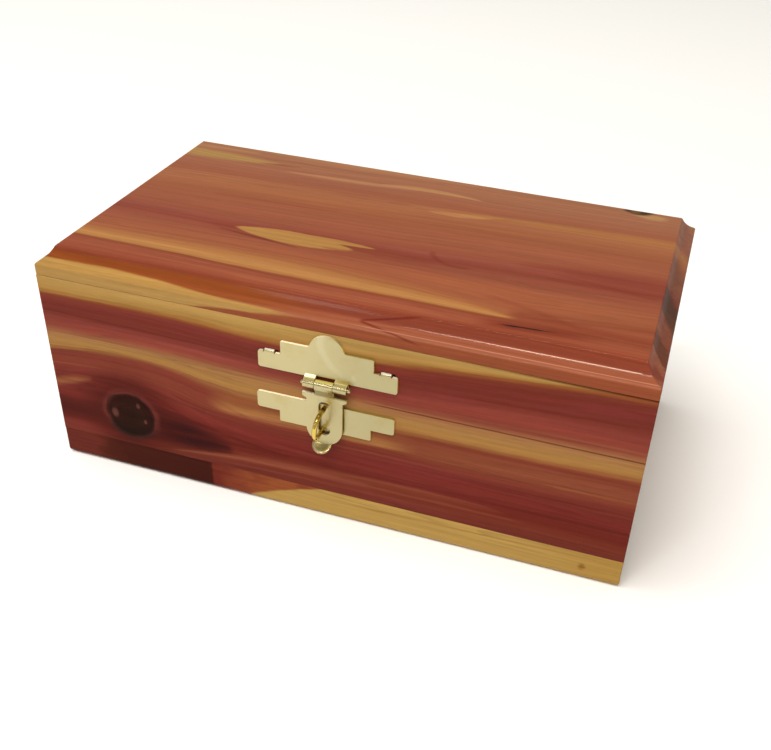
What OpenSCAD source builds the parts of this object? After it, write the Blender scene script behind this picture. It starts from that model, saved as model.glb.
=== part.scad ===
// Hinged keepsake box in solid red cedar with a stamped brass hasp.
// X runs along the front, Y from front to back, Z up. The origin is the centre of the rest face.

/* [Box] */
// Width of the box along the front
box_w = 203.2; // [150:0.1:300]
// Depth of the box from front to back
box_d = 114.3; // [90:0.1:200]
// Height of the closed box
box_h = 82.55; // [75:0.05:120]

/* [Boards] */
// Thickness of the eight wall boards
wall_t = 9.5; // [8:0.1:12]
// Thickness of the bottom board
bottom_t = 11.1; // [6:0.1:14]
// Thickness of the top board
top_t = 9.25; // [7:0.05:12]
// Height of the saw cut that parts the lid from the base
split_z = 50.95; // [49.5:0.05:52]
// Part of the front and back boards left outside the corner rabbets
lip_t = 4.75; // [3:0.05:6]
// Width and height of the cove around the top board
cove_w = 5.3; // [3:0.1:6.5]
// Depth of the cove's hollow below a straight bevel
cove_deep = 0.65; // [0.3:0.05:0.9]
// Radius of the lower edges of the bottom board
foot_r = 2; // [1:0.1:4]

/* [Hasp plates] */
// Thickness of the brass sheet
sheet_t = 0.8; // [0.6:0.05:1]
// Sideways place of the hasp's centreline
hasp_x = 0.8; // [-5:0.1:5]
// Sideways place of the upper plate
plate_x = 1.2; // [-5:0.1:5]
// Sideways place of the lower plate
keeper_x = 0.4; // [-5:0.1:5]
// Lower edge of the upper plate
plate_z = 57; // [56.5:0.1:58]
// Upper edge of the lower plate
keeper_z = 47.3; // [46.5:0.1:48]
// Radius of the round head of the upper plate
dome_r = 5.9; // [5:0.1:6.5]

/* [Hasp strap] */
// Height of the hasp's pivot
pivot_z = 55.45; // [55.2:0.05:55.8]
// Distance of the hasp's pivot from the front face
pivot_out = 2; // [1.9:0.1:2.4]
// Half the width of the strap
strap_half = 6.1; // [5:0.1:7]
// Distance from the pivot to the lower end of the strap, without the thumb tab
strap_l = 22.6; // [21:0.1:24]
// Outward lean of the strap as it rests over the staple, in degrees
strap_lean = 1.5; // [0:0.1:3]
// Outward bend of the thumb tab, in degrees
tab_bend = 58; // [20:1:60]

/* [Staple] */
// Radius of the staple's wire
wire_r = 0.8; // [0.7:0.05:0.9]
// Half the distance between the staple's legs
staple_half = 4.25; // [4:0.05:4.5]
// Distance that the staple stands out of the front face
staple_out = 10.2; // [9:0.1:12]
// Turn of the staple away from upright, in degrees
staple_turn = 4; // [0:1:5]

/* [Back hinges] */
// Distance of each hinge from the middle of the box
hinge_x = 62; // [40:1:70]
// Half the length of a hinge leaf
leaf_half = 15; // [13:0.5:20]
// Radius of every hinge and hasp pin
pin_r = 0.7; // [0.5:0.05:0.75]

/* [Hidden] */
$fn = 64;

side_w = box_w / 2;
side_d = box_d / 2;
wall_top = box_h - top_t;
eps = 0.01;

// the cove's arc, and how far its centre stands out past the board's side and above its top
cove_r = cove_w * cove_w / (4 * cove_deep) + cove_deep / 2;
cove_off = (cove_r - cove_deep) / sqrt(2) - cove_w / 2;

// running clearance of a turning knuckle on its pin, and the side gap between knuckles
run_gap = 0.05;
knuckle_gap = 0.2;
knuckle_r = pin_r + sheet_t + run_gap;
sheet_mid_r = knuckle_r - sheet_t / 2;

// upper and lower hasp plates: half widths and heights of their two steps
plate_half = 23.3;
plate_step_half = 15.5;
plate_end_h = 6;
plate_step_h = 10.7;
dome_top = 15.7;
dome_foot_r = 1;
keeper_half = 23.5;
keeper_step_half = 15.7;
keeper_end_h = 6.1;
keeper_step_h = 10.2;
corner_r = 0.8;

// the roots of the outer knuckles, cut up into the upper plate's lower edge
tongue_h = 0.8;

// prongs that hold the plates in the wood
prong_w = 3.3;
prong_depth = 5;
prong_from_end = 3.85;
prong_bend_r = 1;
prong_rise = -0.3;
prong_root = 1;
nick_w = 0.5;
nick_h = 0.6;
pocket_slack = 1.2;
spike_w = 2;

// knuckle ends along the hasp's pivot, from the hasp's centreline
knuckle_left = -6.8;
middle_left = -2.9;
middle_right = 3.2;
knuckle_right = 7.8;
pin_end = 1.2;

// strap: distances below the pivot, and the slot that passes over the staple
strap_face = 1.9;
neck_end = 3.9;
wing_half = 7.5;
wing_end_h = 1.3;
wing_h = 2;
slot_half = 2.05;
slot_top = 6.3;
slot_end = 19.1;
tab_half = 3.25;
tab_l = 3.8;
tab_x = -0.6;
tab_root = 0.5;
dish_r = 8;
dish_deep = 0.3;

// staple
staple_z = 42.1;
staple_x = hasp_x - 0.5;
leg_depth = 8;
ear_r = 2.6;

// back hinges
hinge_out = 1.75;
leaf_gap = 2.2;
leaf_end_h = 5.6;
leaf_step_half = 9;
leaf_step_h = 9.4;
barrel_half = 9.5;
lid_knuckle_half = 3.2;
leaf_prongs = [for (s = [-1, 1]) s * (leaf_half + leaf_step_half) / 2];

heartwood = "#8f4436";
sapwood = "#b98a55";
brass = "#d3c48b";
gold = "#c9a63c";

// ---- shared shapes ----

// a board between two corners
module board(low, high) {
    translate(low)
        cube(high - low);
}

// flat outline in X and Z, made into sheet that stands between two distances from a face
module sheet(from, t) {
    rotate([90, 0, 0])
        translate([0, 0, from])
            linear_extrude(t)
                children();
}

// outline whose X is the distance into a face, made into a bar along X
module along_x(x0, x1) {
    translate([x0, 0, 0])
        rotate([90, 0, 90])
            linear_extrude(x1 - x0)
                children();
}

// the front face and the back face as the place to fasten things on, outwards being -Y in each
module on_front() {
    translate([0, -side_d, 0])
        children();
}

module on_back() {
    translate([0, side_d, 0])
        mirror([0, 1, 0])
            children();
}

// a bar from -half to half with rounded corners, upwards from the origin
module rounded_bar(half, h, r) {
    translate([-half + r, 0])
        square([2 * (half - r), h]);
    translate([-half, r])
        square([2 * half, h - 2 * r]);
    for (x = [-half + r, half - r], z = [r, h - r])
        translate([x, z])
            circle(r);
}

// outline of a stamped plate with one step at each end
module stepped_outline(half, end_h, step_half, step_h) {
    rounded_bar(half, end_h, corner_r);
    rounded_bar(step_half, step_h, corner_r / 2);
}

// a prong that leaves the top edge of a plate, bends over and goes into the wood
module prong() {
    translate([-prong_w / 2, prong_bend_r - sheet_t, prong_rise])
        rotate([90, 0, 90])
            linear_extrude(prong_w) {
                intersection() {
                    difference() {
                        circle(prong_bend_r);
                        circle(prong_bend_r - sheet_t);
                    }
                    translate([-prong_bend_r, 0])
                        square(prong_bend_r);
                }
                translate([-prong_bend_r, -prong_root])
                    square([sheet_t, prong_root]);
                translate([0, prong_bend_r - sheet_t])
                    square([prong_depth, sheet_t]);
            }
}

// small cuts beside a prong's root that let it bend
module prong_nicks() {
    for (s = [-1, 1])
        translate([s * (prong_w + nick_w) / 2 - nick_w / 2, -nick_h])
            square([nick_w, nick_h + 1]);
}

// the pocket that a prong makes in the wood, torn a little wider on one side
module prong_pocket() {
    translate([-prong_w / 2, -1, prong_rise])
        cube([prong_w + pocket_slack, prong_depth + prong_bend_r - sheet_t + 1, prong_bend_r]);
}

// straight piece of sheet from a root to where it touches the roll of a knuckle
module tongue(root, centre, side) {
    run = centre - root;
    reach = norm(run);
    slope = atan2(run[1], run[0]) + side * asin(sheet_mid_r / reach);
    translate(root)
        rotate(slope)
            translate([0, -sheet_t / 2])
                square([sqrt(reach * reach - sheet_mid_r * sheet_mid_r), sheet_t]);
}

// knuckle of rolled sheet about a pin
module knuckle(x0, x1, root, centre, side, bore_r) {
    along_x(x0, x1)
        difference() {
            union() {
                translate(centre)
                    circle(knuckle_r);
                tongue(root, centre, side);
            }
            translate(centre)
                circle(bore_r);
        }
}

// ---- wooden boards ----

module foot_profile(w) {
    translate([-w / 2, foot_r])
        square([w, bottom_t - foot_r]);
    translate([-w / 2 + foot_r, 0])
        square([w - 2 * foot_r, foot_r + eps]);
    for (s = [-1, 1])
        translate([s * (w / 2 - foot_r), foot_r])
            circle(foot_r);
}

module bottom_board() {
    color(sapwood)
        intersection() {
            rotate([90, 0, 0])
                linear_extrude(box_d, center = true)
                    foot_profile(box_w);
            rotate([90, 0, 90])
                linear_extrude(box_w, center = true)
                    foot_profile(box_d);
        }
}

module top_board() {
    color(heartwood)
        difference() {
            board([-side_w, -side_d, wall_top], [side_w, side_d, box_h]);
            for (s = [-1, 1]) {
                translate([0, s * (side_d + cove_off), box_h + cove_off])
                    rotate([0, 90, 0])
                        cylinder(h = box_w + 2, r = cove_r, center = true);
                translate([s * (side_w + cove_off), 0, box_h + cove_off])
                    rotate([90, 0, 0])
                        cylinder(h = box_d + 2, r = cove_r, center = true);
            }
        }
}

// long wall with a rabbet at each end, drawn as the front one
module long_wall(z0, z1) {
    color(heartwood)
        difference() {
            board([-side_w, 0, z0], [side_w, wall_t, z1]);
            for (s = [-1, 1])
                translate([s * (side_w - wall_t / 2), wall_t, (z0 + z1) / 2])
                    cube([wall_t, 2 * (wall_t - lip_t), z1 - z0 + 2], center = true);
        }
}

module short_wall(side, z0, z1) {
    color(heartwood)
        translate([side * (side_w - wall_t / 2), 0, (z0 + z1) / 2])
            cube([wall_t, box_d - 2 * lip_t, z1 - z0], center = true);
}

module base_front() {
    difference() {
        on_front()
            long_wall(bottom_t, split_z);
        on_front() {
            staple_legs(leg_depth);
            keeper_spikes();
        }
    }
}

module base_back() {
    difference() {
        on_back()
            long_wall(bottom_t, split_z);
        leaf_pockets(-1);
    }
}

module base_left() {
    short_wall(-1, bottom_t, split_z);
}

module base_right() {
    short_wall(1, bottom_t, split_z);
}

module lid_front() {
    difference() {
        on_front()
            long_wall(split_z, wall_top);
        on_front()
            for (x = plate_prongs)
                translate([x, 0, plate_z + plate_end_h])
                    prong_pocket();
    }
}

module lid_back() {
    difference() {
        on_back()
            long_wall(split_z, wall_top);
        leaf_pockets(1);
    }
}

module lid_left() {
    short_wall(-1, split_z, wall_top);
}

module lid_right() {
    short_wall(1, split_z, wall_top);
}

// ---- hasp ----

pivot = [-pivot_out, pivot_z];
plate_prongs = [for (s = [-1, 1]) plate_x + s * (plate_half - prong_from_end)];

// round head of the upper plate, with a small fillet at each foot
module dome_outline() {
    centre_h = dome_top - dome_r;
    fillet_h = plate_step_h + dome_foot_r;
    reach = dome_r + dome_foot_r;
    fillet_x = sqrt(reach * reach - (fillet_h - centre_h) * (fillet_h - centre_h));
    translate([0, centre_h])
        circle(dome_r);
    for (s = [-1, 1])
        difference() {
            polygon([[0, centre_h], [s * fillet_x, fillet_h], [s * fillet_x, plate_step_h - 1], [0, centre_h - 1]]);
            translate([s * fillet_x, fillet_h])
                circle(dome_foot_r);
        }
}

module hasp_plate() {
    root = [-sheet_t / 2, plate_z + tongue_h];
    color(brass)
        on_front() {
            sheet(0, sheet_t)
                difference() {
                    translate([plate_x, plate_z]) {
                        stepped_outline(plate_half, plate_end_h, plate_step_half, plate_step_h);
                        dome_outline();
                    }
                    translate([hasp_x + knuckle_left, plate_z - 1])
                        square([knuckle_right - knuckle_left, tongue_h + 1]);
                    for (x = plate_prongs)
                        translate([x, plate_z + plate_end_h])
                            prong_nicks();
                }
            for (x = plate_prongs)
                translate([x, 0, plate_z + plate_end_h])
                    prong();
            knuckle(hasp_x + knuckle_left, hasp_x + middle_left - knuckle_gap, root, pivot, -1, pin_r);
            knuckle(hasp_x + middle_right + knuckle_gap, hasp_x + knuckle_right, root, pivot, -1, pin_r);
        }
}

// pin with rounded ends
module pin(x0, x1) {
    translate([x0 + pin_r, 0, 0])
        rotate([0, 90, 0])
            cylinder(h = x1 - x0 - 2 * pin_r, r = pin_r);
    for (x = [x0 + pin_r, x1 - pin_r])
        translate([x, 0, 0])
            rotate([0, 90, 0])
                sphere(pin_r);
}

module hasp_pin() {
    color(brass)
        on_front()
            translate([hasp_x, -pivot_out, pivot_z])
                pin(knuckle_left - pin_end, knuckle_right + pin_end);
}

// flat outline of the strap, with Z counted down from the pivot
module strap_outline() {
    difference() {
        union() {
            polygon([[-wing_half, -neck_end], [wing_half, -neck_end], [wing_half, -neck_end - wing_end_h],
                [strap_half, -neck_end - wing_h], [-strap_half, -neck_end - wing_h],
                [-wing_half, -neck_end - wing_end_h]]);
            translate([-strap_half, -strap_l + strap_half])
                square([2 * strap_half, strap_l - strap_half - neck_end - wing_h / 2]);
            translate([0, -strap_l + strap_half])
                circle(strap_half);
        }
        translate([-slot_half, -slot_end + slot_half])
            square([2 * slot_half, slot_end - slot_top - 2 * slot_half]);
        for (z = [-slot_top - slot_half, -slot_end + slot_half])
            translate([0, z])
                circle(slot_half);
    }
}

// thumb tab, hinged at its root on the strap's outer face
module thumb_tab() {
    rotate([-tab_bend, 0, 0])
        difference() {
            sheet(-sheet_t, sheet_t)
                intersection() {
                    translate([-tab_half, -tab_l])
                        square([2 * tab_half, tab_l]);
                    union() {
                        translate([-tab_half, -tab_l + tab_half])
                            square([2 * tab_half, tab_l - tab_half]);
                        translate([0, -tab_l + tab_half])
                            circle(tab_half);
                    }
                }
            translate([0, -dish_r + dish_deep, -tab_l + tab_half])
                sphere(dish_r);
        }
    translate([-tab_half, 0, 0])
        rotate([0, 90, 0])
            rotate_extrude(angle = tab_bend)
                square([sheet_t, 2 * tab_half]);
}

module hasp_strap() {
    lean_face = strap_face - pivot_out;
    root = [-(strap_face - sheet_t / 2) - neck_end * sin(strap_lean), pivot_z - neck_end - 0.2];
    color(brass)
        on_front() {
            translate([hasp_x, -pivot_out, pivot_z])
                rotate([-strap_lean, 0, 0])
                    translate([0, -lean_face, 0]) {
                        sheet(-sheet_t, sheet_t)
                            strap_outline();
                        translate([tab_x, 0, -strap_l + tab_root])
                            thumb_tab();
                    }
            knuckle(hasp_x + middle_left, hasp_x + middle_right, root, pivot, 1, pin_r + run_gap);
        }
}

// legs of the staple, from inside the wood to the start of its bow
module staple_legs(depth) {
    bow_start = staple_out - wire_r - staple_half;
    translate([staple_x, depth, staple_z])
        rotate([90, staple_turn, 0])
            for (s = [-1, 1])
                translate([0, s * staple_half, 0])
                    cylinder(h = depth + bow_start, r = wire_r);
}

module staple() {
    bow_start = staple_out - wire_r - staple_half;
    color(gold)
        on_front() {
            staple_legs(leg_depth);
            translate([staple_x, -bow_start, staple_z])
                rotate([0, staple_turn, 0])
                    rotate([0, 90, 0])
                        rotate([0, 0, 180])
                            rotate_extrude(angle = 180)
                                translate([staple_half, 0])
                                    circle(wire_r);
        }
}

// two spikes behind the lower plate
module keeper_spikes() {
    for (s = [-1, 1])
        translate([keeper_x + s * (keeper_half - prong_from_end) - spike_w / 2, -sheet_t / 2,
            keeper_z - keeper_end_h / 2])
            cube([spike_w, sheet_t / 2 + prong_depth, sheet_t]);
}

module staple_plate() {
    color(brass)
        on_front()
            difference() {
                union() {
                    sheet(0, sheet_t) {
                        translate([keeper_x, keeper_z])
                            mirror([0, 1])
                                stepped_outline(keeper_half, keeper_end_h, keeper_step_half, keeper_step_h);
                        // ear around the staple's lower leg
                        translate([staple_x, staple_z - staple_half])
                            circle(ear_r);
                    }
                    keeper_spikes();
                }
                staple_legs(leg_depth);
            }
}

// ---- back hinges ----

// one leaf, up from the hinge line as seen from behind; its knuckles are given as pairs of ends
module leaf(spans, bore_r) {
    translate([0, 0, leaf_gap])
        sheet(0, sheet_t)
            difference() {
                stepped_outline(leaf_half, leaf_end_h, leaf_step_half, leaf_step_h);
                for (x = leaf_prongs)
                    translate([x, leaf_end_h])
                        prong_nicks();
            }
    for (x = leaf_prongs)
        translate([x, 0, leaf_gap + leaf_end_h])
            prong();
    for (span = spans)
        knuckle(span[0], span[1], [-sheet_t / 2, leaf_gap + corner_r], [-hinge_out, 0], 1, bore_r);
}

module base_leaf(side) {
    outer = lid_knuckle_half + knuckle_gap;
    color(brass)
        on_back()
            translate([side * hinge_x, 0, split_z])
                mirror([0, 0, 1])
                    leaf([[-barrel_half, -outer], [outer, barrel_half]], pin_r);
}

module lid_leaf(side) {
    color(brass)
        on_back()
            translate([side * hinge_x, 0, split_z])
                leaf([[-lid_knuckle_half, lid_knuckle_half]], pin_r + run_gap);
}

module hinge_pin(side) {
    color(brass)
        on_back()
            translate([side * hinge_x, -hinge_out, split_z])
                pin(-barrel_half - pin_end / 2, barrel_half + pin_end / 2);
}

// pockets for the prongs of both leaves above (1) or below (-1) the saw cut
module leaf_pockets(up) {
    on_back()
        for (side = [-1, 1], x = leaf_prongs)
            translate([side * hinge_x + x, 0, split_z])
                mirror([0, 0, up > 0 ? 0 : 1])
                    translate([0, 0, leaf_gap + leaf_end_h])
                        prong_pocket();
}

module hinge_base_leaf_left() { base_leaf(-1); }
module hinge_base_leaf_right() { base_leaf(1); }
module hinge_lid_leaf_left() { lid_leaf(-1); }
module hinge_lid_leaf_right() { lid_leaf(1); }
module hinge_pin_left() { hinge_pin(-1); }
module hinge_pin_right() { hinge_pin(1); }

bottom_board();
base_front();
base_back();
base_left();
base_right();
top_board();
lid_front();
lid_back();
lid_left();
lid_right();
hasp_plate();
hasp_strap();
hasp_pin();
staple_plate();
staple();
hinge_base_leaf_left();
hinge_lid_leaf_left();
hinge_pin_left();
hinge_base_leaf_right();
hinge_lid_leaf_right();
hinge_pin_right();
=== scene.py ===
"""A red cedar keepsake box with a stamped brass hasp, in its studio."""

import math

import bpy
from mathutils import Matrix, Vector


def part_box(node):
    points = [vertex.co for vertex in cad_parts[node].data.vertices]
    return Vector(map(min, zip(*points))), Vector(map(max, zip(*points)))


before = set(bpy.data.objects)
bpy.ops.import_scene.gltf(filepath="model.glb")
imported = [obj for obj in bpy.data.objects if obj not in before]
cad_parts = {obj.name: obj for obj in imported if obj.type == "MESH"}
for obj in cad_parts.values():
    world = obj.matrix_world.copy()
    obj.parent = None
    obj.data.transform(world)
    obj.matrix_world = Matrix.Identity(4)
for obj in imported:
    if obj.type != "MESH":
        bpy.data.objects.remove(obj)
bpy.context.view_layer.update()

MM = 0.001

# ---- the box's main lines, in millimetres, from the frame ----

top_low, top_high = (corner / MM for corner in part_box("top_board"))
HALF_W = top_high.x
FRONT_Y = top_low.y
BOX_D = top_high.y - top_low.y
BOX_H = top_high.z
WALL_TOP = top_low.z
SAW_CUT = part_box("lid_front")[0].z / MM


# ---- shader graphs ----

def linear(code):
    """A colour written as an sRGB hex code, as linear red, green and blue."""
    parts = [int(code[i:i + 2], 16) / 255 for i in (1, 3, 5)]
    return [c / 12.92 if c <= 0.04045 else ((c + 0.055) / 1.055) ** 2.4 for c in parts]


class Value:
    """One number that varies over a surface, with ordinary arithmetic."""

    def __init__(self, graph, socket):
        self.graph = graph
        self.socket = socket

    def __add__(self, other):
        return self.graph.math("ADD", self, other)

    def __radd__(self, other):
        return self.graph.math("ADD", other, self)

    def __sub__(self, other):
        return self.graph.math("SUBTRACT", self, other)

    def __rsub__(self, other):
        return self.graph.math("SUBTRACT", other, self)

    def __mul__(self, other):
        return self.graph.math("MULTIPLY", self, other)

    def __rmul__(self, other):
        return self.graph.math("MULTIPLY", other, self)

    def __truediv__(self, other):
        return self.graph.math("DIVIDE", self, other)

    def __abs__(self):
        return self.graph.math("ABSOLUTE", self)


class Graph:
    """A material's node tree, built by calling functions."""

    def __init__(self, name):
        self.material = bpy.data.materials.new(name)
        self.material.use_nodes = True
        self.tree = self.material.node_tree
        self.tree.nodes.clear()
        self.output = self.node("OutputMaterial")

    def node(self, kind, **settings):
        made = self.tree.nodes.new("ShaderNode" + kind)
        for key, value in settings.items():
            setattr(made, key, value)
        return made

    def feed(self, socket, value):
        if isinstance(value, Value):
            self.tree.links.new(value.socket, socket)
        elif isinstance(value, bpy.types.NodeSocket):
            self.tree.links.new(value, socket)
        else:
            socket.default_value = value

    def math(self, operation, a, b=None):
        made = self.node("Math", operation=operation)
        self.feed(made.inputs[0], a)
        if b is not None:
            self.feed(made.inputs[1], b)
        return Value(self, made.outputs[0])

    def position(self):
        """X, Y and Z on the part in millimetres."""
        where = self.node("TexCoord")
        parts = self.node("SeparateXYZ")
        self.feed(parts.inputs[0], where.outputs["Object"])
        return [Value(self, out) / MM for out in parts.outputs]

    def facing(self, axis):
        """How squarely a surface faces along an axis, from 0 to 1."""
        where = self.node("TexCoord")
        parts = self.node("SeparateXYZ")
        self.feed(parts.inputs[0], where.outputs["Normal"])
        return abs(Value(self, parts.outputs[axis]))

    def vector(self, x, y, z):
        made = self.node("CombineXYZ")
        for socket, value in zip(made.inputs, (x, y, z)):
            self.feed(socket, value)
        return made.outputs[0]

    def noise(self, x, y, z, detail=2.0, rough=0.5, twist=0.0):
        """Smooth noise from 0 to 1, with features about one unit across."""
        made = self.node("TexNoise")
        self.feed(made.inputs["Vector"], self.vector(x, y, z))
        made.inputs["Scale"].default_value = 1.0
        made.inputs["Detail"].default_value = detail
        made.inputs["Roughness"].default_value = rough
        made.inputs["Distortion"].default_value = twist
        return Value(self, made.outputs[0])

    def rise(self, value, low, high, kind="SMOOTHSTEP"):
        """0 below low and 1 above high, and smooth between."""
        made = self.node("MapRange", interpolation_type=kind)
        self.feed(made.inputs["Value"], value)
        self.feed(made.inputs["From Min"], low)
        self.feed(made.inputs["From Max"], high)
        return Value(self, made.outputs[0])

    def share(self, value, low, high):
        """0 below low and 1 above high, and straight between."""
        return self.rise(value, low, high, kind="LINEAR")

    def band(self, value, low, high, soft_low, soft_high):
        """1 between low and high, fading over a soft width at each side."""
        start = self.rise(value, low - soft_low, low + soft_low)
        end = self.rise(value, high - soft_high, high + soft_high)
        return start * (1 - end)

    def curve(self, along, points, span, reach):
        """A smooth line through points: along runs over span, and the line lies within reach."""
        made = self.node("FloatCurve")
        line = made.mapping.curves[0]
        start, run = span[0], span[1] - span[0]
        base, height = reach[0], reach[1] - reach[0]
        places = [((a - start) / run, (b - base) / height) for a, b in points]
        while len(line.points) < len(places):
            line.points.new(0.5, 0.5)
        for point, place in zip(line.points, sorted(places)):
            point.location = place
            point.handle_type = "AUTO_CLAMPED"
        made.mapping.update()
        self.feed(made.inputs["Value"], (along - start) / run)
        return Value(self, made.outputs[0]) * height + base

    def ramp(self, value, stops, low, high):
        """Colours at values between low and high. Stops are (value, linear colour)."""
        made = self.node("ValToRGB")
        bar = made.color_ramp
        while len(bar.elements) < len(stops):
            bar.elements.new(0.5)
        for element, (at, colour) in zip(bar.elements, sorted(stops, key=lambda stop: stop[0])):
            element.position = (at - low) / (high - low)
            element.color = (*colour, 1)
        self.feed(made.inputs[0], (value - low) / (high - low))
        return made.outputs[0]

    def mix(self, factor, a, b):
        """Colour a where the factor is 0, and colour b where it is 1."""
        made = self.node("Mix", data_type="RGBA")
        self.feed(made.inputs[0], factor)
        for socket, colour in ((made.inputs[6], a), (made.inputs[7], b)):
            if isinstance(colour, bpy.types.NodeSocket):
                self.feed(socket, colour)
            else:
                socket.default_value = (*colour, 1)
        return made.outputs[2]

    def dim(self, colour, amount):
        """A colour made darker or lighter by a factor."""
        made = self.node("VectorMath", operation="SCALE")
        self.feed(made.inputs[0], colour)
        self.feed(made.inputs["Scale"], amount)
        return made.outputs[0]

    def bump(self, height, distance, strength):
        """Normals for a relief: height is in units of distance, which is in metres."""
        made = self.node("Bump")
        made.inputs["Strength"].default_value = strength
        made.inputs["Distance"].default_value = distance
        self.feed(made.inputs["Height"], height)
        return made.outputs[0]

    def finish(self, **inputs):
        """A principled shader with these inputs, as the material's surface."""
        shader = self.node("BsdfPrincipled")
        for name, value in inputs.items():
            socket = shader.inputs[name.replace("_", " ").title().replace("Ior", "IOR")]
            if isinstance(value, (list, tuple)):
                socket.default_value = (*value, 1)
            else:
                self.feed(socket, value)
        self.feed(self.output.inputs["Surface"], shader.outputs[0])
        return self.material

    def flow(self, along, across, lines, span, reach):
        """The level of the grain: each line is (level, points), and the grain flows between the lines."""
        paths = [(level, self.curve(along, points, span, reach)) for level, points in lines]
        level = paths[0][0]
        total = None
        for (low, path), (high, following) in zip(paths, paths[1:]):
            step = self.share(across, path, following) * (high - low)
            total = step if total is None else total + step
        return total + level


# ---- colours: seen in the studio, turned into the paint that gives them ----

# how the studio lights the front and the top: a gain for each channel, and haze
FRONT_LIGHT = ((1.36, 1.23, 1.13), 0.008)
TOP_LIGHT = ((1.45, 1.37, 1.30), 0.019)


def paint(code, light):
    """The surface colour that looks like this code under a light of (gains, haze)."""
    gains, haze = light
    return [min(max((c - haze) / gain, 0.002), 0.9) for c, gain in zip(linear(code), gains)]


def tones(stops, light):
    """Colour stops for a ramp, each turned into paint."""
    return [(at, paint(code, light)) for at, code in stops]


def cover(g, colour, mask, code, light):
    """A colour with another one over it, as strong as the mask."""
    return g.mix(mask, colour, paint(code, light))


# ---- cedar: places and widths are in millimetres on the part ----

WOOD_RELIEF = 0.06 * MM


def grain(g, along, level, depth):
    """Streaks, fibres and flecks along the grain, each about 0 in the middle, and rings from 0 to 1."""
    streaks = g.noise(along * 0.011, level * 0.75, depth * 0.5, detail=4.0, rough=0.62) - 0.5
    fibres = g.noise(along * 0.09, level * 5.0, depth * 3.0, detail=3.0, rough=0.6) - 0.5
    fleck = g.noise(along * 0.22, level * 1.7, depth * 1.2) - 0.5
    bend = g.noise(along * 0.006, level * 0.16, depth * 0.1) * 11
    year = g.math("FRACT", level * 0.36 + bend + fleck * 0.25)
    late = g.rise(year, 0.35, 0.93) * (1 - g.rise(year, 0.93, 1.0))
    strong = g.rise(g.noise(along * 0.008, level * 0.13, depth * 0.1 + 5), 0.42, 0.68)
    return streaks, fibres, fleck, late * strong


def end_grain(g, end_axis, tone):
    """How light a board's sawn end is: tilted bands and soft blotches about a mean tone."""
    side, up = [place for axis, place in enumerate(g.position()) if axis != end_axis]
    bands = g.noise(side * 0.05, up * 0.9 + side * 0.3, 0.5, detail=3.0, rough=0.6, twist=0.4)
    blotch = g.noise(side * 0.10, up * 0.12, 3.5) - 0.5
    return g.math("MAXIMUM", tone + bands * 0.35 + blotch * 1.3 * (1.25 - tone), 0.3)


def cedar_finish(g, colour, along, level, depth, end_axis, relief=0.0, shine=0.0, ring_bite=0.20,
                 lacquer=0.05, lacquer_rough=0.14, end_tone=0.52):
    """Fine grain, end grain, lacquer and bump over a board's own colours."""
    streaks, fibres, fleck, rings = grain(g, along, level, depth)
    shade = 1.02 + streaks * 0.75 + fibres * 0.30 + fleck * 0.16 - rings * ring_bite
    colour = g.dim(colour, shade)
    end = g.rise(g.facing(end_axis), 0.35, 0.75)
    colour = g.mix(end, colour, g.dim(colour, end_grain(g, end_axis, end_tone)))
    ripple = g.noise(along * 0.03, level * 0.35, depth * 0.3)
    height = fibres * 0.5 + streaks * 0.6 + ripple * 1.5 + relief
    return g.finish(
        base_color=colour,
        roughness=0.40 + streaks * 0.15 + end * 0.15 - shine,
        specular_ior_level=0.03,
        coat_weight=lacquer,
        coat_roughness=lacquer_rough,
        normal=g.bump(height, WOOD_RELIEF, 0.6),
    )


def spindle(g, x, across, ends, half, soft, bow):
    """A streak that is widest in the middle and runs to a point at both ends: 1 inside, 0 outside."""
    (x0, y0), (x1, y1) = ends
    t = (x - (x0 + x1) / 2) / ((x1 - x0) / 2)
    fat = g.math("MAXIMUM", 1 - t * t, 0)
    line = t * ((y1 - y0) / 2) + (y0 + y1) / 2 + fat * bow
    outside = g.rise(abs(across - line) - fat * half, -soft, soft)
    return (1 - outside) * g.rise(fat, 0.0, 0.25)


def streaked(g, colour, x, across, light, table):
    """A colour with a table's streaks over it."""
    for ends, half, soft, bow, code, strength in table:
        mask = spindle(g, x, across, ends, half, soft, bow) * strength
        colour = cover(g, colour, mask, code, light)
    return colour


def radius(g, across, up, centre, stretch=1.0):
    """Distance from a centre, on rings stretched sideways."""
    dx = (across - centre[0]) / stretch
    dy = up - centre[1]
    return g.math("SQRT", dx * dx + dy * dy)


# the front wall's grain: each line's level, and its points from left to right as (across the wall, height)
FRONT_LINES = [
    (10, [(-101.6, 8), (-72, 7), (0, 9.5), (101.6, 10)]),
    (17, [(-101.6, 13.5), (-85, 12.5), (-72, 12.2), (-60, 13.2), (-45, 15.5), (-30, 16.5), (0, 17),
          (101.6, 16.5)]),
    (29, [(-101.6, 35), (-85, 36), (-72, 35.5), (-60, 33.5), (-45, 30.5), (-30, 29.3), (0, 29),
          (101.6, 28)]),
    (37, [(-101.6, 40), (-85, 41.2), (-70, 41.5), (-60, 40.5), (-50, 38), (-43, 36), (-36, 34.7),
          (-28, 34.4), (-15, 34.5), (40, 34.9), (101.6, 35.5)]),
    (44, [(-101.6, 45.6), (-85, 47.6), (-70, 48.3), (-60, 47.9), (-50, 46.4), (-45, 45.1), (-40, 44.3),
          (-35, 43.5), (-28, 42.7), (0, 42.8), (60, 43.1), (101.6, 44.6)]),
    (51, [(-101.6, 52.2), (-72, 52.8), (-45, 52.2), (-30, 51.4), (30, 50.4), (60, 50.6), (101.6, 50.8)]),
    (68, [(-101.6, 67.3), (-60, 67.5), (-40, 67), (-18, 66), (5, 66), (22, 67.2), (36, 68.6), (50, 69.7),
          (65, 70.9), (80, 72.1), (101.6, 73.2)]),
    (74, [(-101.6, 74), (101.6, 74)]),
]
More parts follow.
